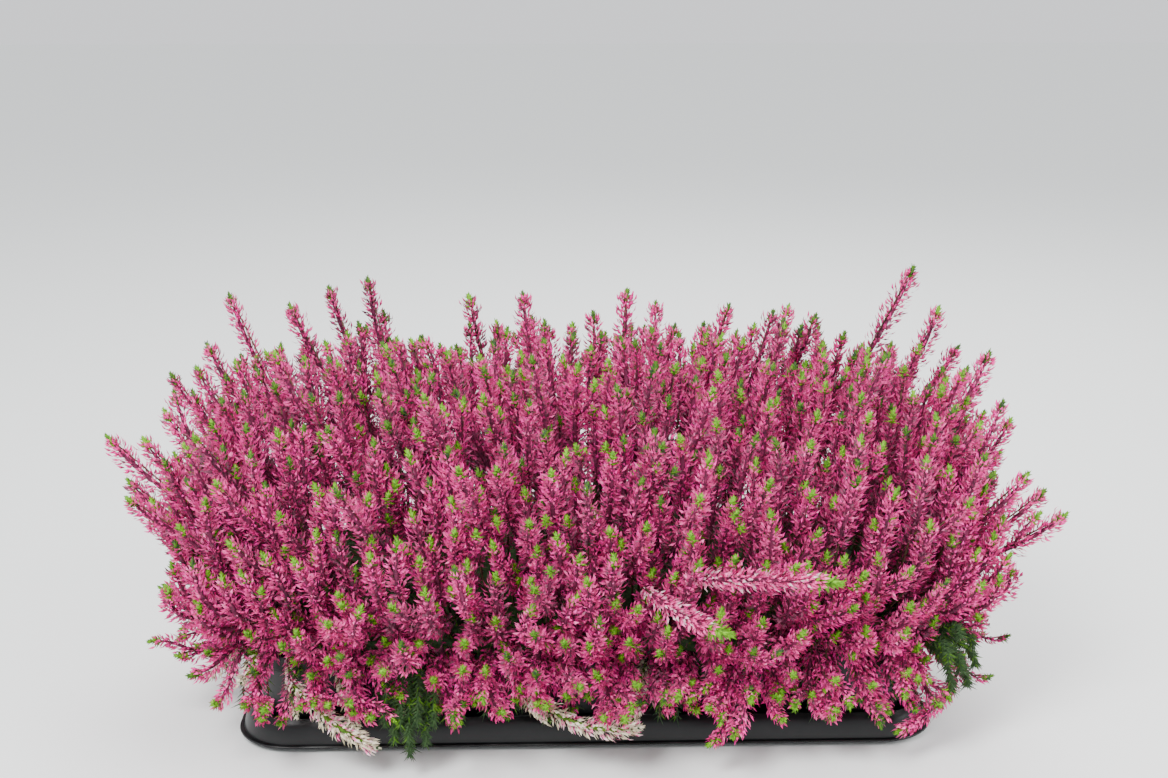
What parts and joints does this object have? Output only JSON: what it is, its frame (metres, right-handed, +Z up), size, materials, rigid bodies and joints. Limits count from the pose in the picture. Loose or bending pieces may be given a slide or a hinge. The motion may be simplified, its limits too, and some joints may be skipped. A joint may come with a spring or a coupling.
{
  "type": "potted heather",
  "caption": "Tray of flowering heather: rows of potted plants whose upright pink flower shoots with green leafy tips fan out into one dense mound over a shallow black carrying tray.",
  "frame": {"origin": "on the surface it stands on, under the middle of the tray, at the tray's small centre foot", "axes": "+X along the tray to its right end, +Y from the front long side to the back, +Z up"},
  "size_m": [0.7452, 0.4182, 0.352],
  "materials": {
    "black_plastic": "satin",
    "soil": "matte",
    "leaf": "matte",
    "flower": "matte"
  },
  "bodies": {
    "root": {"tray": "black_plastic", "pot_front_1": "black_plastic", "pot_front_2": "black_plastic", "pot_front_3": "black_plastic", "pot_front_4": "black_plastic", "pot_front_5": "black_plastic", "pot_back_1": "black_plastic", "pot_back_2": "black_plastic", "pot_back_3": "black_plastic", "pot_back_4": "black_plastic", "pot_back_5": "black_plastic", "soil_front_1": "soil", "soil_front_2": "soil", "soil_front_3": "soil", "soil_front_4": "soil", "soil_front_5": "soil", "soil_back_1": "soil", "soil_back_2": "soil", "soil_back_3": "soil", "soil_back_4": "soil", "soil_back_5": "soil", "leafy_base_front_1": "leaf", "leafy_base_front_2": "leaf", "leafy_base_front_3": "leaf", "leafy_base_front_4": "leaf", "leafy_base_front_5": "leaf", "leafy_base_back_1": "leaf", "leafy_base_back_2": "leaf", "leafy_base_back_3": "leaf", "leafy_base_back_4": "leaf", "leafy_base_back_5": "leaf", "flower_spray_front_1_left": "flower", "flower_spray_front_1_right": "flower", "flower_spray_front_2_left": "flower", "flower_spray_front_2_right": "flower", "flower_spray_front_3_left": "flower", "flower_spray_front_3_right": "flower", "flower_spray_front_4_left": "flower", "flower_spray_front_4_right": "flower", "flower_spray_front_5_left": "flower", "flower_spray_front_5_right": "flower", "flower_spray_back_1_left": "flower", "flower_spray_back_1_right": "flower", "flower_spray_back_2_left": "flower", "flower_spray_back_2_right": "flower", "flower_spray_back_3_left": "flower", "flower_spray_back_3_right": "flower", "flower_spray_back_4_left": "flower", "flower_spray_back_4_right": "flower", "flower_spray_back_5_left": "flower", "flower_spray_back_5_right": "flower"}
  },
  "joints": []
}
